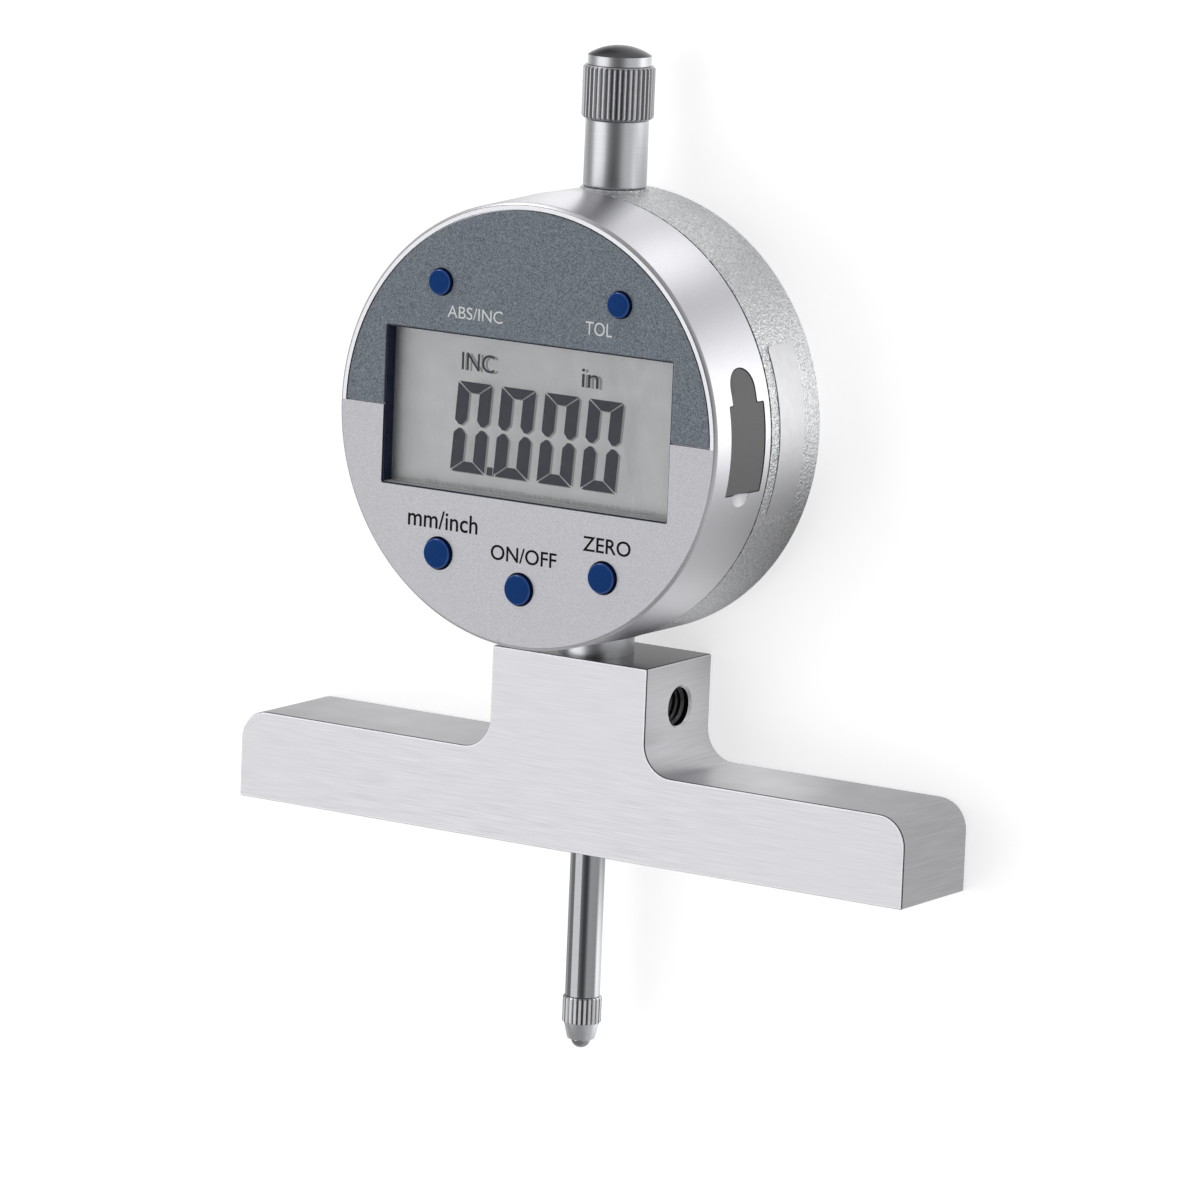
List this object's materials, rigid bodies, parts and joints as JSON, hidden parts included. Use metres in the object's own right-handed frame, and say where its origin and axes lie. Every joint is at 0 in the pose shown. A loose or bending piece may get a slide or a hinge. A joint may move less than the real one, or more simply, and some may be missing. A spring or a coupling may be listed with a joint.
{
  "type": "digital depth gauge",
  "caption": "Digital depth gauge: a round electronic indicator with a display and push buttons, clamped in a T-shaped base, its sprung spindle reaching through the base",
  "frame": {"origin": "centre of the measuring face on the underside of the base, at half the base's thickness", "axes": "+X along the base to the right of the display, +Y up the spindle towards the dust cap, +Z out of the display face"},
  "size_m": [0.099, 0.127, 0.0277],
  "materials": {
    "ground_steel": "finely ground and satin, bevelled edges bright",
    "dark_steel": "dark oiled steel",
    "tube_steel": "turned and satin polished",
    "polished_steel": "hardened and polished bright",
    "knurled_steel": "straight knurled, satin",
    "spring_steel": "drawn wire",
    "bush_bronze": "turned bronze",
    "stop_rubber": "moulded rubber, matt",
    "blasted_metal": "fine sand-blasted silver",
    "face_silver": "silver paint with a fine sparkle",
    "inlay_grey": "metallic grey-blue, satin",
    "window_frame": "dark navy plastic, satin",
    "window_clear": "clear window",
    "lcd_grey": "grey display glass",
    "board_green": "green lacquered circuit board",
    "contact_gold": "bright plated strip",
    "hatch_grey": "dark grey moulded plastic, matt",
    "label_white": "bare white film",
    "button_blue": "moulded blue plastic, satin"
  },
  "bodies": {
    "frame": {"base_block": "ground_steel", "clamp_screw": "dark_steel", "stem": "tube_steel", "lower_bush": "bush_bronze", "upper_bush": "bush_bronze", "stop_washer": "stop_rubber", "rear_case": "blasted_metal", "back_plate": "blasted_metal", "back_plate_screws": "dark_steel", "case_screws": "dark_steel", "case_gasket": "stop_rubber", "front_housing": "face_silver", "face_inlay": "inlay_grey", "lcd_frame": "window_frame", "window_lens": "window_clear", "lcd_panel": "lcd_grey", "upper_contact_strip": "stop_rubber", "lower_contact_strip": "stop_rubber", "main_board": "board_green", "board_screws": "dark_steel", "stator_board": "board_green", "controller_chip": "hatch_grey", "button_switches": "hatch_grey", "battery_contact_upper": "contact_gold", "battery_contact_lower": "contact_gold", "upper_tube": "tube_steel", "guide_rod": "tube_steel", "return_spring": "spring_steel", "side_label": "label_white"},
    "spindle_group": {"spindle": "polished_steel", "contact_point": "knurled_steel", "contact_ball": "polished_steel", "scale_carrier": "bush_bronze", "carrier_screw": "dark_steel", "moving_scale": "board_green"},
    "abs_inc_button": {"button_abs_inc": "button_blue"},
    "tol_button": {"button_tol": "button_blue"},
    "units_button": {"button_units": "button_blue"},
    "power_button": {"button_power": "button_blue"},
    "zero_button": {"button_zero": "button_blue"},
    "battery_drawer": {"battery_tray": "hatch_grey", "battery_cell": "polished_steel"},
    "cap": {"dust_cap": "knurled_steel"}
  },
  "joints": [
    {"name": "spindle_slide", "type": "slide", "parent": "frame", "child": "spindle_group", "axis": [0, 1, 0], "range_m": [0, 0.0254], "stiffness_N_per_m": 20, "springref_m": -0.05, "deforming": ["return_spring"]},
    {"name": "abs_inc_press", "type": "slide", "parent": "frame", "child": "abs_inc_button", "axis": [0, 0, -1], "range_m": [0, 0.0005], "stiffness_N_per_m": 1500, "springref_m": -0.0005},
    {"name": "tol_press", "type": "slide", "parent": "frame", "child": "tol_button", "axis": [0, 0, -1], "range_m": [0, 0.0005], "stiffness_N_per_m": 1500, "springref_m": -0.0005},
    {"name": "units_press", "type": "slide", "parent": "frame", "child": "units_button", "axis": [0, 0, -1], "range_m": [0, 0.0005], "stiffness_N_per_m": 1500, "springref_m": -0.0005},
    {"name": "power_press", "type": "slide", "parent": "frame", "child": "power_button", "axis": [0, 0, -1], "range_m": [0, 0.0005], "stiffness_N_per_m": 1500, "springref_m": -0.0005},
    {"name": "zero_press", "type": "slide", "parent": "frame", "child": "zero_button", "axis": [0, 0, -1], "range_m": [0, 0.0005], "stiffness_N_per_m": 1500, "springref_m": -0.0005},
    {"name": "battery_drawer_slide", "type": "slide", "parent": "frame", "child": "battery_drawer", "axis": [1, 0, 0], "range_m": [0, 0.016]},
    {"name": "dust_cap_lift", "type": "slide", "parent": "frame", "child": "cap", "axis": [0, 1, 0], "range_m": [0, 0.008]}
  ]
}
